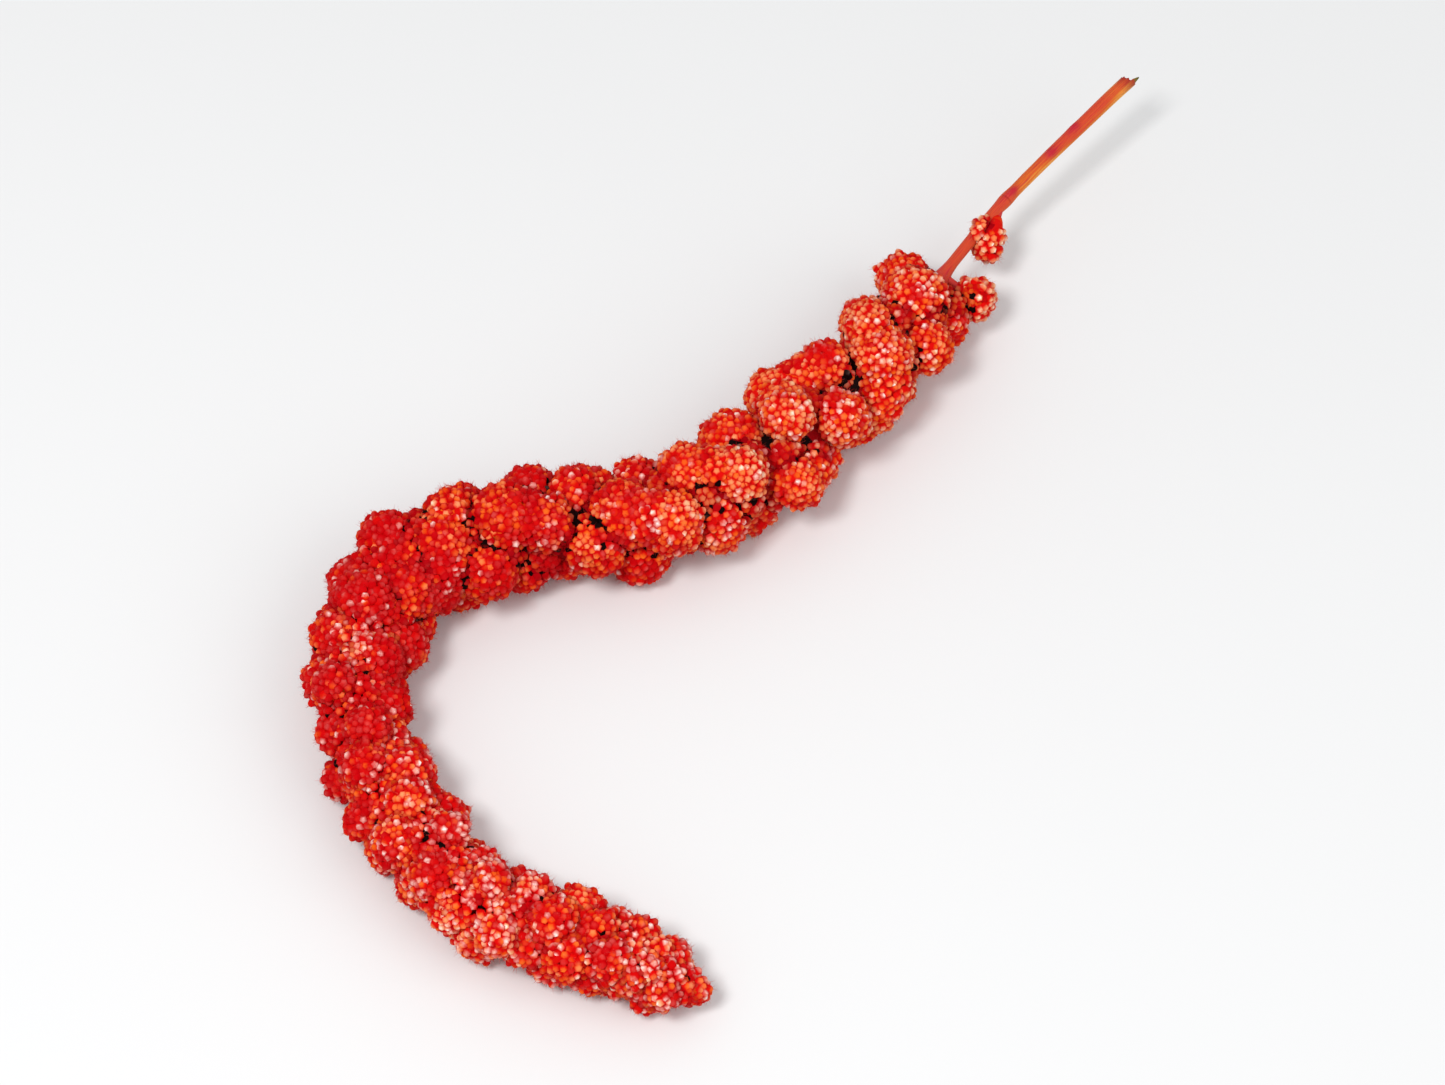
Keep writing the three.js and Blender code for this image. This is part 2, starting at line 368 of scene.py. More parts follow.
# an egg beside the line for each number: its share of the head is eased by the crowding, it is turned
# by the golden angle, leans to the tip and reaches to the outline
def lobeEggs(rule):
    i = np.arange(rule["count"])
    t = (i + 0.5) / rule["count"]
    share = rule["lastShare"] * (t + rule["crowding"] * t * (1 - t))
    point, along, up, side = station(lengthAt(share))
    drawn = i + rule["seed"]
    turn = rule["firstTurn"] + i * goldenTurn + rule["turnSpread"] * spread(drawn, "lobeTurn")
    out = turned(up, side, turn)
    lean = between(*rule["lean"], share)
    full = between(*rule["radius"], eased(share, *rule["shrinkOver"]))
    size = np.minimum(full, outlineRadius(share) / 2)
    radius = size * (1 + rule["sizeSpread"] * spread(drawn, "lobeSize"))
    half = radius * (rule["stretch"] + rule["stretchSpread"] * spread(drawn, "lobeStretch"))
    reach = outlineRadius(share) * (1 + rule["reachSpread"] * spread(drawn, "lobeReach"))
    direction = turned(out, along, lean)
    outerHalf = np.hypot(half * np.cos(lean), radius * np.sin(lean))
    centre = point + out * np.maximum(reach - outerHalf, 0)[:, None]
    return {"centre": centre, "direction": direction, "radius": radius, "half": half, "share": share}


# small eggs that close the tip, pairs run from the first to the last
tipRule = {"count": 10, "from": 0.945, "firstTurn": 0.8, "radius": (3.3, 2.9), "stretch": 1.2,
           "lean": (0.7, 1.45), "closing": 3}


# wound on by the golden angle, leaning ever more along the line, drawn in to it by a power of the way
def tipEggs(rule):
    t = np.linspace(0, 1, rule["count"])
    share = rule["from"] + (1 - rule["from"]) * t
    radius = between(*rule["radius"], t)
    half = radius * rule["stretch"]
    point, along, up, side = station(lengthAt(share) - half * t)
    out = turned(up, side, np.arange(rule["count"]) * goldenTurn + rule["firstTurn"])
    direction = turned(out, along, between(*rule["lean"], t))
    reach = np.maximum(outlineRadius(share) - half, 0) * (1 - t ** rule["closing"])
    centre = point + out * reach[:, None]
    return {"centre": centre, "direction": direction, "radius": radius, "half": half, "share": share}


# small balls low down between the big lobes of the base half
innerRule = {"count": 60, "to": 0.5, "firstTurn": 2.1, "radius": 4.2, "sizeSpread": 0.2, "reach": 0.73,
             "lean": 0.2}


# spaced evenly, wound on by the golden angle, reaching to a part of the outline
def innerEggs(rule):
    i = np.arange(rule["count"])
    share = rule["to"] * (i + 0.5) / rule["count"]
    point, along, up, side = station(lengthAt(share))
    out = turned(up, side, i * goldenTurn + rule["firstTurn"])
    radius = rule["radius"] * (1 + rule["sizeSpread"] * spread(i, "innerSize"))
    centre = point + out * (rule["reach"] * outlineRadius(share) - radius)[:, None]
    direction = unit(out + rule["lean"] * along)
    return {"centre": centre, "direction": direction, "radius": radius, "half": radius, "share": share}


# here and there in the base half two neighbouring lobes have grown together: an egg between the two
bridgeRule = {"every": 2, "from": 0.04, "to": 0.5, "radius": 0.88, "overlap": 0.45, "reach": 0.96}


# it lies along the line from a lobe to its nearest neighbour, moved out to reach almost to the outline;
# no pair is taken twice
def bridgeEggs(rule, lobes):
    centres, shares, radii = lobes["centre"], lobes["share"], lobes["radius"]
    one = np.flatnonzero((shares > rule["from"]) & (shares < rule["to"]))[::rule["every"]]
    gap = np.linalg.norm(centres[one, None] - centres, axis=2)
    gap[np.arange(len(one)), one] = np.inf
    one, other = np.unique(np.sort(np.stack([one, gap.argmin(1)]), axis=0), axis=1)
    across = centres[other] - centres[one]
    share = (shares[other] + shares[one]) / 2
    radius = rule["radius"] * (radii[other] + radii[one]) / 2
    half = np.linalg.norm(across, axis=1) / 2 + rule["overlap"] * radius
    point, along, _, _ = station(lengthAt(share))
    away = (centres[other] + centres[one]) / 2 - point
    forward = along * np.einsum("ij,ij->i", away, along)[:, None]
    out = unit(away - forward)
    centre = point + forward + out * (rule["reach"] * outlineRadius(share) - radius)[:, None]
    made = {"centre": centre, "direction": unit(across), "radius": radius, "half": half, "share": share}
    return made, one, other


# two small clusters on the bare rachis: root, centre, radius, half length
sideClusters = [
    ((55.7, 78.7, 14.5), (53.6, 72.8, 12.2), 2.9, 5.8),
    ((43.0, 61.8, 12.8), (49.6, 57.5, 10.2), 4.4, 4.4),
]

# a few seeds on top of the bare rachis beside the first cluster, given in the same way
fringe = [((53.4, 75.9, 15.4), (51.4, 73.0, 14.8), 1.6, 3.2)]


# an egg for each cluster, pointing from its root to its centre
def clusterEggs(clusters):
    root, centre = (np.array([cluster[k] for cluster in clusters]) for k in range(2))
    radius, half = (np.array([cluster[k] for cluster in clusters]) for k in (2, 3))
    direction = unit(centre - root)
    share = np.zeros(len(clusters))
    return {"centre": centre, "direction": direction, "radius": radius, "half": half, "share": share}


lobes = lobeEggs(lobeRule)
bridges, oneLobe, otherLobe = bridgeEggs(bridgeRule, lobes)
families = [
    ("lobe", lobes), ("tip", tipEggs(tipRule)), ("inner", innerEggs(innerRule)), ("bridge", bridges),
    ("cluster", clusterEggs(fringe)), ("cluster", clusterEggs(sideClusters)),
]
eggs = {key: np.concatenate([family[key] for _, family in families]) for key in lobes}
kind = np.concatenate([[name] * len(family["share"]) for name, family in families])
fanEgg, ringEgg = len(kind) - 2, len(kind) - 1  # the two side clusters come last

# True for two eggs that have grown together, also by way of a third, so that no joint shows there
grown = np.eye(len(kind), dtype=int)
bridge = np.flatnonzero(kind == "bridge")
for lobe in (oneLobe, otherLobe):
    grown[bridge, lobe] = 1
    grown[lobe, bridge] = 1
grown = grown @ grown > 0
print(f"{len(kind)} lobes")


# how deep each point lies in each egg: squares across and along it, in its own radii; under 1 is inside
def depthIn(points, eggs):
    away = points[:, None] - eggs["centre"][None]
    along = np.einsum("ijk,jk->ij", away, eggs["direction"])
    across = np.maximum(np.einsum("ijk,ijk->ij", away, away) - along**2, 0)
    return across / eggs["radius"] ** 2 + along**2 / eggs["half"] ** 2


# 1 where a point is no further out of its neighbours than their own skin, eased to 0 at the reach
def grooveShade(deep, reach):
    return 1 - eased(np.sqrt(deep) - 1, 0, reach)


# dyed seeds with their painted highlights, the painted shade in the grooves between the lobes, and the
# lobes' insides; pairs are a gain and an offset
seedFinishLooks = {
    "fixed": {"Specular IOR Level": 0.01, "Coat Roughness": 0.25, "Sheen Weight": 0.05,
              "Sheen Roughness": 0.4, "Sheen Tint": (1.0, 0.06, 0.08)},
    "dye": [(0.0, (0.52, 0.001, 0.004)), (0.35, (0.61, 0.004, 0.002)),  # deep red, red
            (0.7, (0.88, 0.150, 0.010)), (1.0, (0.88, 0.29, 0.11))],  # orange, salmon
    "patchScale": 150.0, "patch": (1.6, -0.8),
    # a deeper red low on each seed, between the seeds: painted shade
    "root": (0.48, 0.001, 0.003), "rootBright": (0.68, 0.004, 0.003),
    "rootTone": (1.6, -0.2), "rootEnd": (3.2, -2.2),
    # colours of the painted highlights on the seeds' upper sides
    "palePink": (0.88, 0.53, 0.46), "paleStraw": (0.89, 0.57, 0.33), "white": (0.92, 0.84, 0.79),
    "strawTone": (3.0, -1.8), "whitePale": (2.5, -1.6), "fleckScale": 900.0, "fleckPale": (3.0, -0.6),
    # painted shade in the grooves between the lobes: dark red, and black painted shadow in places
    "grooveShadeRed": (0.32, 0.001, 0.004), "shadowBlack": (0.006, 0.002, 0.002),
    "slitScale": 150.0, "slitPlace": (9.0, -4.3), "slitGroove": (3.0, -1.4), "slitEdge": (3.0, -0.8),
    "rough": (0.3, 0.35), "coat": 0.6, "grainScale": 2600.0, "bump": 0.15, "bumpDepth": 0.0003,
}


# red dye: a ramp over the shade
def dyed(wire, shade):
    return wire.node("ShaderNodeValToRGB", {"stops": seedFinishLooks["dye"]}, {0: shade})


# colour with painted shade put over it in the grooves between the lobes: groove from 0 to 1 is dark
# red, black painted shadow here and there, and 2 is black painted shade in a pit
def paintGrooveShade(wire, groove, colour):
    looks = seedFinishLooks
    some = noise(wire, looks["slitScale"]).level(*looks["slitPlace"])
    shadowBlack = groove.scaled(*looks["slitGroove"]) * some + (groove - 1.0)
    slit = shadowBlack.level(*looks["slitEdge"])
    return slit.blend(groove.clipped().blend(colour, looks["grooveShadeRed"]), looks["shadowBlack"])


# a seed: tone is its own shade, tip runs from 0 at its root to 1 at its point, and pale is how strong a
# painted highlight each part carries
def seedFinish():
    looks = seedFinishLooks
    finish, wire, shader = newFinish("dyedSeed", looks["fixed"])
    tone = own(wire, "tone")
    groove = own(wire, "groove")
    pale = own(wire, "pale")
    shade = (tone + noise(wire, looks["patchScale"]).scaled(*looks["patch"])).clipped()
    # root: deeper red low on each seed, painted shade between the seeds
    root = tone.level(*looks["rootTone"]).blend(looks["root"], looks["rootBright"])
    rooted = own(wire, "tip").level(*looks["rootEnd"]).blend(root, dyed(wire, shade))
    fleck = noise(wire, looks["fleckScale"])
    # the painted highlight: pale pink to straw, white where strongest, and coat on the same spots
    point = (pale * (1.0 - groove) * fleck.scaled(*looks["fleckPale"])).clipped()
    highlightColour = tone.level(*looks["strawTone"]).blend(looks["palePink"], looks["paleStraw"])
    glint = pale.level(*looks["whitePale"]).blend(highlightColour, looks["white"])
    wire.feed(shader.inputs["Base Color"], point.blend(paintGrooveShade(wire, groove, rooted), glint))
    wire.feed(shader.inputs["Roughness"], fleck.scaled(*looks["rough"]))
    wire.feed(shader.inputs["Coat Weight"], point * looks["coat"])
    wire.feed(shader.inputs["Normal"], bumped(wire, noise(wire, looks["grainScale"]), looks))
    return finish


# placing, form and shade of the seeds, in mm; lists of pairs run along the head's length
seedLooks = {
    # golden spirals on the eggs
    "spacing": 1.45, "packing": 0.87, "turnByEgg": 1.7, "jitter": 0.2, "lump": 0.4,
    # filling between the lobes of the tip half
    "fillFrom": 0.45, "fillEnd": 8.0, "fillSteps": 2000, "fillReach": 0.74, "fillJitter": 0.35,
    "fillLean": 0.4,
    # buried seeds, painted shade in the grooves between lobes, pits with black painted shade, and
    # strays at the tip
    "tipHalf": (0.42, 0.62), "buried": (0.95, 0.88), "lowest": -1.2, "floorClear": 0.5,
    "grooveReach": 0.16, "grooveTip": 0.6, "innerGroove": 0.45,
    "pitReach": 1.3, "pitChance": 0.05, "pitTo": 0.92, "pitDepth": 0.6, "pitShade": 2.0,
    "strayFrom": 0.86, "strayChance": 0.04, "strayLift": (0.2, 0.6),
    # the fan and the ring of the side clusters
    "fanFrom": -0.3, "fanSpread": 0.35,
    "ringAxis": (-0.1, -0.5, 0.85), "ringFrom": 0.80, "ringShade": 0.3,
    # form of one seed
    "length": 0.98, "width": 0.97, "sink": 0.5, "sizeSpread": 0.14, "lean": 0.3, "tilt": 0.3,
    "sides": 5, "rings": 4, "taper": 0.15,
    "softenAlong": [(0.0, 1.4), (0.42, 1.2), (0.62, 0.7), (1.0, 0.6)],
    # its tone, darker on the sunken ring as painted shade
    "toneAlong": [(0.0, 0.70), (0.28, 0.70), (0.40, 0.34), (0.65, 0.18), (0.75, 0.42), (1.0, 0.52)],
    "toneByEgg": 0.12, "toneSpread": 0.18, "toneCluster": 0.2, "toneRing": 0.6,
    # how many seeds carry a painted highlight, how strong, and on which side: the upper side, where the
    # light falls
    "paleAlong": [(0.0, 0.32), (0.27, 0.28), (0.38, 0.06), (0.65, 0.05), (0.76, 0.34), (1.0, 0.56)],
    "paleByEgg": 0.9, "paleCluster": 0.6, "paleSeed": (0.45, 1.0), "redSeed": (0.0, 0.1),
    "paleLean": 0.3, "paleSide": (0.5, 0.4), "palePower": 1.5,
    # two patches with more painted highlights and a more orange tone
    "patches": [(-74.0, -35.0, 20.0), (-56.2, -94.0, 13.5)], "patchSize": 4.5,
    "patchPale": 0.9, "patchTone": 0.4,
}

# slow waves in space that make the lobes lumpy and gather the seeds with painted highlights
waveRule = {"across": [(1.5, 0.6, 0.0), (0.0, 1.1, -1.3), (0.9, 0.0, 1.2)], "phase": (0.0, 1.0, 2.0),
            "height": 0.5}


# half the sum of three sines, each across space in its own direction
def waves(place):
    phase = place @ np.array(waveRule["across"]).T + waveRule["phase"]
    return waveRule["height"] * np.sin(phase).sum(1)


# seeds on every egg by a golden spiral from pole to pole; gives the egg, place and normal of each,
# how deep it lies in any other egg, and how deep in one that hasn't grown together with its own
def seedSpots(eggs, looks):
    area = 4 * np.pi * eggs["radius"] * (eggs["radius"] + eggs["half"]) / 2
    counts = np.round(area / (looks["packing"] * looks["spacing"] ** 2)).astype(int)
    egg = np.repeat(np.arange(len(counts)), counts)
    k = np.arange(counts.sum()) - np.repeat(np.cumsum(counts) - counts, counts)
    z = 1 - (2 * k + 1) / counts[egg]
    first, second = squareTo(eggs["direction"])
    ring = turned(first[egg], second[egg], k * goldenTurn + egg * looks["turnByEgg"])
    ring *= np.sqrt(1 - z**2)[:, None]
    pole = eggs["direction"][egg] * z[:, None]
    radius, half = eggs["radius"][egg, None], eggs["half"][egg, None]
    normal = unit(ring / radius + pole / half)
    skin = eggs["centre"][egg] + ring * radius + pole * half
    place = skin + normal * (looks["lump"] * waves(skin))[:, None]
    place += rng.normal(0, looks["jitter"], skin.shape)
    deep = depthIn(skin, eggs)
    deep[np.arange(len(egg)), egg] = farOut
    return egg, place, normal, deep.min(1), np.where(grown[egg], farOut, deep).min(1)


# seeds that fill the tip half between the lobes: a golden spiral on a tube inside the outline, as close
# as the tube's area allows
def fillSpots(eggs, looks):
    fine = np.linspace(lengthAt(looks["fillFrom"]), axisLength - looks["fillEnd"], looks["fillSteps"])
    reach = looks["fillReach"] * outlineRadius(shareAt(fine))
    area = 2 * np.pi * reach * (fine[1] - fine[0])
    count = np.cumsum(area / (looks["packing"] * looks["spacing"] ** 2))
    k = np.arange(int(count[-1]))
    length = np.interp(k, count, fine)
    point, along, up, side = station(length)
    normal = turned(up, side, k * goldenTurn)
    place = point + normal * np.interp(length, fine, reach)[:, None]
    place += rng.normal(0, looks["fillJitter"], place.shape)
    deep = depthIn(place, eggs)
    return deep.argmin(1), place, unit(normal + looks["fillLean"] * along), deep.min(1), deep.min(1)


seedEgg, seedPlace, seedNormal, seedDeep, seedApart = (
    np.concatenate(both) for both in zip(seedSpots(eggs, seedLooks), fillSpots(eggs, seedLooks)))

# the first side cluster is a fan: bare near its root, wider towards its end
away = seedPlace - eggs["centre"][seedEgg]
outward = np.einsum("ij,ij->i", away, eggs["direction"][seedEgg])
onFan = seedEgg == fanEgg
fanShare = outward / eggs["half"][seedEgg]
widening = seedLooks["fanSpread"] * onFan * fanShare
seedPlace += (away - eggs["direction"][seedEgg] * outward[:, None]) * widening[:, None]

# seeds buried in a neighbour, well under the floor or at the root of the fan are left out
tipward = eased(eggs["share"][seedEgg], *seedLooks["tipHalf"])
shown = seedDeep > between(*seedLooks["buried"], tipward) ** 2
shown &= seedPlace[:, 2] > seedLooks["lowest"]
shown &= ~onFan | (fanShare > seedLooks["fanFrom"])
seedEgg, seedPlace, seedNormal, seedApart, tipward = (
    part[shown] for part in (seedEgg, seedPlace, seedNormal, seedApart, tipward))
seedShare = eggs["share"][seedEgg]

# painted shade in the grooves between lobes, a few seeds that stand out near the tip, and black painted
# shade in pits sunk in some grooves
seedGroove = grooveShade(seedApart, seedLooks["grooveReach"])
seedGroove *= between(1, seedLooks["grooveTip"], tipward)
stray = (seedShare > seedLooks["strayFrom"]) & (rng.random(len(seedEgg)) < seedLooks["strayChance"])
stray &= kind[seedEgg] == "lobe"
seedPlace += seedNormal * (stray * rng.uniform(*seedLooks["strayLift"], len(seedEgg)))[:, None]
pit = (rng.random(len(seedEgg)) < seedLooks["pitChance"]) & (seedApart < seedLooks["pitReach"] ** 2)
pit &= seedShare < seedLooks["pitTo"]

# the second side cluster has a sunken ring with painted shade, a black painted shadow in one gap, and
# one seed with a white painted highlight
ring = (seedNormal @ unit(np.array(seedLooks["ringAxis"]))) * (seedEgg == ringEgg)
gapSeed, _, paleSeed = np.argsort(-ring)[:3]
onRing = ring > seedLooks["ringFrom"]
onRing[paleSeed] = False
seedPlace -= seedNormal * ((pit | onRing) * seedLooks["pitDepth"])[:, None]
seedGroove[onRing] = seedLooks["ringShade"]
seedGroove[pit] = seedLooks["pitShade"]
seedGroove[gapSeed] = seedLooks["pitShade"]
seedGroove[paleSeed] = 0
# -1 takes the painted highlight off the ring and darkens its tone as painted shade, 1 gives the one
# seed a full painted highlight
seedPaintedLight = -1.0 * onRing
seedPaintedLight[paleSeed] = 1
# the seeds of the inner balls, low between the lobes, get painted shade
seedGroove = np.maximum(seedGroove, seedLooks["innerGroove"] * (kind[seedEgg] == "inner"))
seedPlace[:, 2] = np.maximum(seedPlace[:, 2], seedLooks["floorClear"])  # the lowest lie on the floor
print(f"{len(seedEgg)} seeds")


# each seed is a ball drawn out along its own axis and narrowed towards its point; it carries its tone,
# groove, pale and tip, and its shading normals lean to the lobe's own normal by the softening
def seedShapes(chosen, looks):
    egg, place, normal = seedEgg[chosen], seedPlace[chosen], seedNormal[chosen]
    share, paintedLight = seedShare[chosen], seedPaintedLight[chosen]
    count = len(egg)
    leaning = normal + looks["lean"] * eggs["direction"][egg]
    axis = unit(leaning + rng.normal(0, looks["tilt"], normal.shape))
    first, second = squareTo(axis)
    size = 1 + looks["sizeSpread"] * rng.uniform(-1, 1, (count, 1))
    points, faces = ballTemplate(looks["sides"], looks["rings"])
    points[:, :2] *= 1 - looks["taper"] * points[:, 2:]
    corners = len(points)
    seat = place - normal * looks["sink"]
    copies, triangles = stamped((points, faces), seat, first * looks["width"] * size,
                                second * looks["width"] * size, axis * looks["length"] * size)
    copies[:, 2] = np.maximum(copies[:, 2], 0.0)
    onCluster = kind[egg] == "cluster"
    toPatch = np.linalg.norm(place[:, None] - np.array(looks["patches"]), axis=2)
    patch = bell(toPatch / looks["patchSize"]).sum(1)
    chance = valueAlong(looks["paleAlong"], share) * (1 + looks["paleByEgg"] * spread(egg, "pale"))
    chance += looks["paleCluster"] * onCluster
    chance *= 1 + waves(place)
    chance += looks["patchPale"] * patch
    amount = np.where(rng.random(count) < chance, rng.uniform(*looks["paleSeed"], count),
                      rng.uniform(*looks["redSeed"], count))
    amount = np.clip(amount + paintedLight, 0, 1)
    # each painted highlight lies on the seed's upper side, turned a little at random
    sunny = unit(np.array([0, 0, 1.0]) + rng.normal(0, looks["paleLean"], (count, 3)))
    low, span = looks["paleSide"]
    facing = np.clip((sunny @ points.T - low) / span, 0, 1) ** looks["palePower"]
    tone = valueAlong(looks["toneAlong"], share) + looks["toneByEgg"] * spread(egg, "tone")
    tone += rng.normal(0, looks["toneSpread"], count) + looks["toneCluster"] * onCluster
    tone += looks["patchTone"] * patch + looks["toneRing"] * np.minimum(paintedLight, 0)
    values = {
        "tone": np.repeat(tone, corners), "groove": np.repeat(seedGroove[chosen], corners),
        "pale": np.clip(facing * amount[:, None], 0, 1).ravel(),
        "tip": np.tile((points[:, 2] + 1) / 2, count),
    }
    bulge = unit(copies - np.repeat(seat, corners, 0))
    soften = normal * valueAlong(looks["softenAlong"], share)[:, None]
    return copies, triangles, values, unit(bulge + np.repeat(soften, corners, 0))


seedRed = seedFinish()
stretches = {"seeds_base": (0.0, 0.2), "seeds_middle": (0.2, 0.45), "seeds_bend": (0.45, 0.65),
             "seeds_arm": (0.65, 0.83), "seeds_tip": (0.83, 2.0)}
for name, (low, high) in stretches.items():
    chosen = (seedShare >= low) & (seedShare < high)
    points, faces, values, normals = seedShapes(chosen, seedLooks)
    made = piece(name, points, faces, values, seedRed, "seed_head", "seed_head")
    made.data.normals_split_custom_set_from_vertices(normals.astype(np.float32))

# insides of the lobes and the rachis in them; finish pairs are a gain and an offset
coreLooks = {
    "sink": 0.6, "sides": 14, "rings": 11, "lift": 0.6, "grooveReach": 0.25, "innerGroove": 0.8,
    "axisShare": 0.5, "axisSides": 12, "axisStep": 4.0, "axisEnds": (1.0, 4.0),
    "axisSwell": (2.0, 14.0), "axisGroove": 1.3,
    "fixed": {"Specular IOR Level": 0.05}, "patch": (1.6, -0.75), "fleckScale": 700.0, "fleckGain": 0.5,
    "rough": (0.3, 0.55),
}


# inside of a lobe, seen only between the seeds: the same dye by patches and flecks, with painted shade
# and black painted shadow by its groove
def coreFinish(looks):
    finish, wire, shader = newFinish("lobeInside", looks["fixed"])
    fleck = noise(wire, looks["fleckScale"])
    patch = noise(wire, seedFinishLooks["patchScale"]).scaled(*looks["patch"])
    shade = (patch + fleck * looks["fleckGain"]).clipped()
    wire.feed(shader.inputs["Base Color"], paintGrooveShade(wire, own(wire, "groove"), dyed(wire, shade)))
    wire.feed(shader.inputs["Roughness"], fleck.scaled(*looks["rough"]))
    return finish


# the eggs a little smaller and a thick rachis between them, so that no gap shows through
def lobeInsides(looks):
    first, second = squareTo(eggs["direction"])
    radius = (eggs["radius"] - looks["sink"])[:, None]
    half = (eggs["half"] - looks["sink"])[:, None]
    template = ballTemplate(looks["sides"], looks["rings"])
    balls = stamped(template, eggs["centre"], first * radius, second * radius, eggs["direction"] * half)
    egg = np.repeat(np.arange(len(kind)), len(template[0]))
    deep = np.where(grown[egg], farOut, depthIn(balls[0], eggs)).min(1)
    # painted shade where a lobe's inside meets its neighbours, and more on the inner balls
    groove = grooveShade(deep, looks["grooveReach"])
    groove = np.maximum(groove, looks["innerGroove"] * (kind[egg] == "inner"))
    start, end = looks["axisEnds"]
    lengths = np.arange(headStart + start, axisLength - end, looks["axisStep"])
    before, over = looks["axisSwell"]
    swell = np.clip((lengths - headStart + before) / over, 0, 1)
    reach = looks["axisShare"] * outlineRadius(shareAt(lengths)) * swell
    rod = tube(station(lengths), np.repeat(reach[:, None], looks["axisSides"], 1))
    # the rachis deep inside is painted dark red to black: painted shade between the lobes
    rodGroove = np.full(len(rod[0]), looks["axisGroove"])
    points, faces, values = joined([(*balls, {"groove": groove}), (*rod, {"groove": rodGroove})])
    points[:, 2] = np.maximum(points[:, 2], looks["lift"])
    return points, faces, values


piece("lobe_insides", *lobeInsides(coreLooks), coreFinish(coreLooks), "seed_head", "seed_head")

# fine bristles between the seeds
bristleLooks = {
    "count": 36000, "length": (0.9, 1.8), "width": 0.04, "lean": 0.5, "stray": 0.6, "grooveTo": 0.5,
    "paleSpread": 1.6, "fixed": {"Specular IOR Level": 0.1}, "rough": (0.2, 0.4),
    "root": (0.58, 0.004, 0.005), "end": (0.62, 0.015, 0.012), "paleEnd": (0.88, 0.40, 0.32),
}


# paler towards the end by the square of the way, the more so where the seeds are pale
def bristleFinish(looks):
    finish, wire, shader = newFinish("bristle", looks["fixed"])
    tip = own(wire, "tip")
    end = own(wire, "pale").blend(looks["end"], looks["paleEnd"])
    wire.feed(shader.inputs["Base Color"], (tip * tip).blend(looks["root"], end))
    wire.feed(shader.inputs["Roughness"], tip.scaled(*looks["rough"]))
    return finish


# each bristle is a three-sided needle that starts in a seed and leans to the tip
def bristles(looks):
    count = looks["count"]
    chosen = rng.choice(np.flatnonzero(seedGroove < looks["grooveTo"]), count)
    place, normal, egg = seedPlace[chosen], seedNormal[chosen], seedEgg[chosen]
    leaning = normal + looks["lean"] * eggs["direction"][egg]
    axis = unit(leaning + rng.normal(0, looks["stray"], normal.shape))
    first, second = squareTo(axis)
    length = rng.uniform(*looks["length"], (count, 1))
    angle = anglesRound(3)
    points = np.vstack([np.stack([np.cos(angle), np.sin(angle), 0 * angle], -1), [0, 0, 1]])
    faces = np.array([(0, 1, 3), (1, 2, 3), (2, 0, 3), (2, 1, 0)])
    copies, triangles = stamped((points, faces), place, first * looks["width"], second * looks["width"],
                                axis * length)
    copies[:, 2] = np.maximum(copies[:, 2], 0.0)
    pale = valueAlong(seedLooks["paleAlong"], seedShare[chosen])
    pale = np.clip(pale * rng.uniform(0, looks["paleSpread"], count), 0, 1)
    values = {"tip": np.tile(points[:, 2], count), "pale": np.repeat(pale, len(points))}
    return copies, triangles, values


piece("bristles", *bristles(bristleLooks), bristleFinish(bristleLooks), "seed_head", "seed_head")

# dyed straw; pairs are a gain and an offset, or a noise's scale and detail
strawLooks = {
    "fixed": {"Specular IOR Level": 0.18}, "rough": (0.3, 0.32), "bump": 0.5, "bumpDepth": 0.0003,
    "body": [(0.15, (0.60, 0.060, 0.018)), (0.5, (0.66, 0.140, 0.012)),  # red, orange
             (0.95, (0.80, 0.40, 0.07))],  # yellow
    "crimson": (0.48, 0.014, 0.028), "dark": (0.30, 0.010, 0.012), "olive": (0.16, 0.12, 0.015),
    "across": 7.0, "along": 0.06, "streak": (1.6, 4.0), "blotch": (3.1, 1.0), "fibre": (9.0, 3.0),
    "patch": (90.0, 1.0), "flank": (-2.2, 1.9), "rachis": (0.16, -5.6),
    "streakGain": 1.2, "patchGain": 1.2, "shadeLess": 1.05, "flankGain": 0.5, "rachisLess": 0.3,
    "stain": (6.0, -2.9), "stainFlank": 1.4, "stainGain": 0.7,
    "darkEnd": 4.0, "cutBlotch": 0.6, "cutLess": 0.3, "cutGain": 0.85, "splinter": (-2.0, -0.3),
}


# streaks, blotches and fibres are noise drawn out along the straw, by run (mm from the cut) and round
# (0 to 1 and back); a ramp over streaks and patches, crimson stains and knots on it, and a dark cut end
def strawFinish(looks):
    finish, wire, shader = newFinish("dyedStraw", looks["fixed"])
    run = own(wire, "run")
    around = own(wire, "round")
    sockets = {0: around * looks["across"], 1: run * looks["along"], 2: 0.0}
    place = wire.node("ShaderNodeCombineXYZ", {}, sockets)
    streak, blotch, fibre = (noise(wire, *looks[key], place) for key in ("streak", "blotch", "fibre"))
    patch = noise(wire, *looks["patch"])
    flank = around.level(*looks["flank"])
    rachis = run.level(*looks["rachis"])
    shade = streak * looks["streakGain"] + patch * looks["patchGain"] - looks["shadeLess"]
    shade = (shade + flank * looks["flankGain"] - rachis * looks["rachisLess"]).clipped()
    body = wire.node("ShaderNodeValToRGB", {"stops": looks["body"]}, {0: shade})
    stain = (blotch.scaled(*looks["stain"]) - flank * looks["stainFlank"]).clipped()
    stained = (stain * looks["stainGain"] + own(wire, "knot")).clipped().blend(body, looks["crimson"])
    cut = 1.0 - run * (1.0 / looks["darkEnd"]) + blotch * looks["cutBlotch"] - looks["cutLess"]
    ended = (cut.clipped() * looks["cutGain"]).blend(stained, looks["dark"])
    wire.feed(shader.inputs["Base Color"], run.level(*looks["splinter"]).blend(ended, looks["olive"]))
    wire.feed(shader.inputs["Roughness"], streak.scaled(*looks["rough"]))
    wire.feed(shader.inputs["Normal"], bumped(wire, fibre, looks))
    return finish


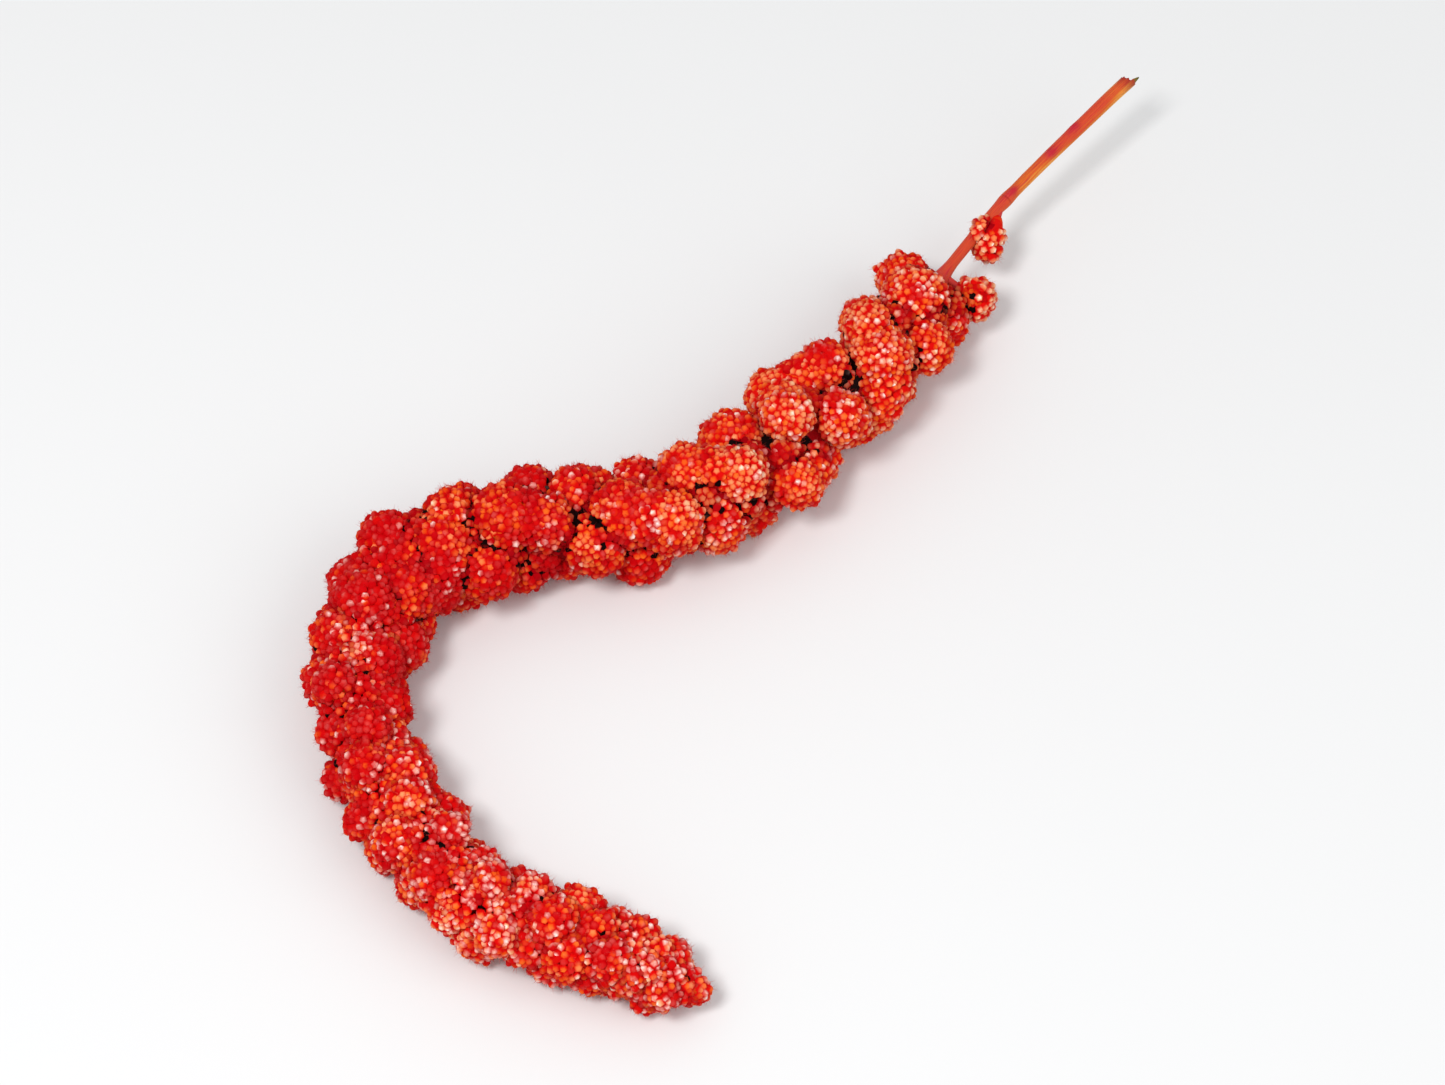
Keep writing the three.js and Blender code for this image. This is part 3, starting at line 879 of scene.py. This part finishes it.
# form of the straw in mm
strawRule = {
    "cutRadius": 1.55, "topRadius": 1.25, "rachisRadius": 1.15, "sides": 66, "step": 0.4,
    "seamGap": 0.05, "intoHead": 6.0, "flare": 1.3, "flareOver": (-7.0, 4.0), "flareStain": 0.8,
    "ribs": 11, "ribDepth": 0.035, "ribSway": 0.6, "ribSwayLength": 9.0,
    "swell": 0.04, "swellLengths": (4.1, 11.3), "nodeRise": 0.22, "nodeWidth": 2.0,
    # small bumps: mm from the cut, angle from the top
    "knots": [(17.5, 0.3), (25.5, -0.2), (38.0, -0.3), (33.0, 2.2)],
    "knotRise": 0.3, "knotSize": (1.5, 0.7),
    # rings of the hollow in the cut end: mm from the cut, share of the radius
    "hollow": [(0.5, 0.3), (0.5, 0.62), (0.05, 0.9)], "innerRings": 2,
    # sines round the ragged rim: height, number, phase
    "slant": 0.45, "ragged": [(1.0, 1, 0.7), (0.35, 9, 0.0), (0.2, 17, 1.0)], "raggedOver": 3.0,
    "splinter": 1.5, "splinterTurn": 5.2, "splinterWidth": 0.3, "splinterFrom": 0.2,
    "splinterOver": 1.2, "splinterRun": 1.2,
}


# a bell over the length times a bell over the angle at each knot
def knotted(s, a):
    long, wide = strawRule["knotSize"]
    return sum(bell((s - at) / long) * bell(chord(a, turn) / wide) for at, turn in strawRule["knots"])


# 0 on the bare rachis, eased to 1 where it runs into the head
def intoHead(s):
    return eased(s - headStart, *strawRule["flareOver"])


# radius of the straw: straight taper and a flare into the head, a cosine of ribs, a slow swell, knots,
# and a bell at the joint with the rachis
def strawRadius(s, a, ends, radii):
    rule = strawRule
    base = between(*radii, (s - ends[0]) / (ends[1] - ends[0])) + rule["flare"] * intoHead(s)
    sway = rule["ribSway"] * np.sin(s / rule["ribSwayLength"])
    rib = 1 + rule["ribDepth"] * np.cos(rule["ribs"] * a + sway)
    short, long = rule["swellLengths"]
    swell = 1 + rule["swell"] * np.sin(s / short) * np.sin(s / long + a)
    node = rule["nodeRise"] * bell((s - plant["stalkLength"]) / rule["nodeWidth"])
    return base * rib * swell + node + rule["knotRise"] * knotted(s, a)


# points and faces of one stretch of straw, with how far along, how far round and how stained each
# point is; a cut end is hollowed by rings inside it
def straw(low, high, radii, cut=False):
    rule = strawRule
    lengths = np.linspace(low, high, int((high - low) / rule["step"]) + 2)
    angle = anglesRound(rule["sides"])
    reach = strawRadius(lengths[:, None], angle[None, :], (low, high), radii)
    if cut:
        hollow = np.array(rule["hollow"])
        lengths = np.concatenate([hollow[:, 0], lengths])
        reach = np.vstack([hollow[:, 1:] * reach[0], reach])
    points, faces = tube(station(lengths), reach)
    turn = np.concatenate([np.tile(angle, len(lengths)), [0, 0]])
    run = np.concatenate([np.repeat(lengths, rule["sides"]), lengths[[0, -1]]])
    knot = knotted(run, turn) + rule["flareStain"] * intoHead(run)
    if cut:
        points, run = raggedCut(points, run, turn)
    return points, faces, {"run": run, "round": np.abs(turn / np.pi - 1), "knot": knot}


# the cut end moved along: shortened by a sum of sines round it, fading away from the cut, except at one
# splinter, a bell over the angle, where the rim is left standing
def raggedCut(points, run, turn):
    rule = strawRule
    ragged = sum(height * np.sin(number * turn + phase) for height, number, phase in rule["ragged"])
    shorter = rule["slant"] * (1 + ragged) * np.clip(1 - run / rule["raggedOver"], 0, 1)
    spike = rule["splinter"] * bell(chord(turn, rule["splinterTurn"]) / rule["splinterWidth"])
    outer = np.arange(len(run)) >= rule["innerRings"] * rule["sides"]
    rim = np.clip(1 - run / rule["splinterOver"], 0, 1) * outer
    moved = shorter - (spike + shorter) * rim * (spike > rule["splinterFrom"])
    return points + station(0.0)[1] * moved[:, None], run - rule["splinterRun"] * spike * rim


# stalks of the side clusters; waist and flares are shares of the radius, one flare for each cluster
pedicelRule = {"radius": 0.8, "rows": 8, "sides": 12, "waist": (1.2, -0.4, 0.2), "flares": (1.6, 0.2),
               "run": 50.0, "round": (0.6, 1.0), "stain": 0.6}


# a short round bar from root to centre, its radius a parabola that widens by the flare
def pedicel(cluster, flare, rule):
    start, end = np.array(cluster[0]), np.array(cluster[1])
    t = np.linspace(0, 1, rule["rows"])[:, None]
    along = np.repeat(unit(end - start)[None], len(t), 0)
    root, slope, curve = rule["waist"]
    reach = rule["radius"] * (root + slope * t + (flare + curve) * t**2)
    stations = (between(start, end, t), along, *squareTo(along))
    points, faces = tube(stations, np.repeat(reach, rule["sides"], 1))
    count = len(points)
    values = {"run": np.full(count, rule["run"]), "round": np.linspace(*rule["round"], count),
              "knot": np.full(count, rule["stain"])}
    return points, faces, values


strawRed = strawFinish(strawLooks)
seam = plant["stalkLength"]
stalkRadii = (strawRule["cutRadius"], strawRule["topRadius"])
rachisRadii = (strawRule["topRadius"], strawRule["rachisRadius"])
stalk = straw(0.0, seam - strawRule["seamGap"], stalkRadii, cut=True)
piece("stalk_straw", *stalk, strawRed, "stalk", "stalk")
bars = [straw(seam, headStart + strawRule["intoHead"], rachisRadii)]
bars += [pedicel(cluster, flare, pedicelRule)
         for cluster, flare in zip(sideClusters, pedicelRule["flares"])]
piece("rachis", *joined(bars), strawRed, "seed_head", "seed_head")

# pale floor, well past the view
floorLooks = {"size": 6.0, "pale": (0.72, 0.72, 0.72), "paler": (0.75, 0.75, 0.75), "cloudScale": 3.0,
              "fixed": {"Specular IOR Level": 0.1}, "rough": (0.1, 0.7)}


# two pale greys blended by soft clouds
def floorFinish(looks):
    finish, wire, shader = newFinish("paleFloor", looks["fixed"])
    cloud = noise(wire, looks["cloudScale"])
    wire.feed(shader.inputs["Base Color"], cloud.blend(looks["pale"], looks["paler"]))
    wire.feed(shader.inputs["Roughness"], cloud.scaled(*looks["rough"]))
    return finish


floorMesh = bpy.data.meshes.new("floor")
half = floorLooks["size"] / 2
corners = [(-half, -half, 0), (half, -half, 0), (half, half, 0), (-half, half, 0)]
floorMesh.from_pydata(corners, [], [(0, 1, 2, 3)])
floorMesh.materials.append(floorFinish(floorLooks))
floor = bpy.data.objects.new("floor", floorMesh)
bpy.context.scene.collection.objects.link(floor)
print("floor laid")

# soft studio light: a key from the upper left, a fill from the right, and a pale sky
lightRig = {
    "key": {"place": (-0.35, -0.45, 1.0), "size": 0.30, "watts": 7.5},
    "fill": {"place": (0.8, -0.5, 0.8), "size": 0.9, "watts": 4.0},
    "sky": (0.98, 0.99, 1.0), "skyStrength": 0.65,
}


# a square lamp at its place, its -Z along the line to the aim
def areaLight(name, looks, aim):
    lamp = bpy.data.lights.new(name, "AREA")
    lamp.energy = looks["watts"]
    lamp.size = looks["size"]
    made = bpy.data.objects.new(name, lamp)
    made.location = looks["place"]
    made.rotation_mode = "QUATERNION"
    made.rotation_quaternion = (aim - made.location).to_track_quat("-Z", "Y")
    bpy.context.scene.collection.objects.link(made)


middle = (cadBox[0] + cadBox[1]) / 2
areaLight("key", lightRig["key"], middle)
areaLight("fill", lightRig["fill"], middle)
world = bpy.data.worlds.new("studio")
world.use_nodes = True
sky = world.node_tree.nodes["Background"]
sky.inputs["Color"].default_value = (*lightRig["sky"], 1)
sky.inputs["Strength"].default_value = lightRig["skyStrength"]
bpy.context.scene.world = world
bpy.context.scene.view_settings.view_transform = "Standard"
print("lights set")

# camera: looks along +Y and down, as the photograph does
cameraLooks = {"elevation": radians(55), "distance": 0.90, "aim": (-0.0028, 0.0025, 0.0), "lens": 110.0,
               "sensor": 36.0, "clipEnd": 50.0}
cameraData = bpy.data.cameras.new("camera")
cameraData.lens = cameraLooks["lens"]
cameraData.sensor_width = cameraLooks["sensor"]
cameraData.clip_end = cameraLooks["clipEnd"]
camera = bpy.data.objects.new("camera", cameraData)
back = Vector((0, -cos(cameraLooks["elevation"]), sin(cameraLooks["elevation"])))
camera.location = Vector(cameraLooks["aim"]) + back * cameraLooks["distance"]
camera.rotation_mode = "QUATERNION"
camera.rotation_quaternion = (-back).to_track_quat("-Z", "Y")
bpy.context.scene.collection.objects.link(camera)
bpy.context.scene.camera = camera
print("camera set")
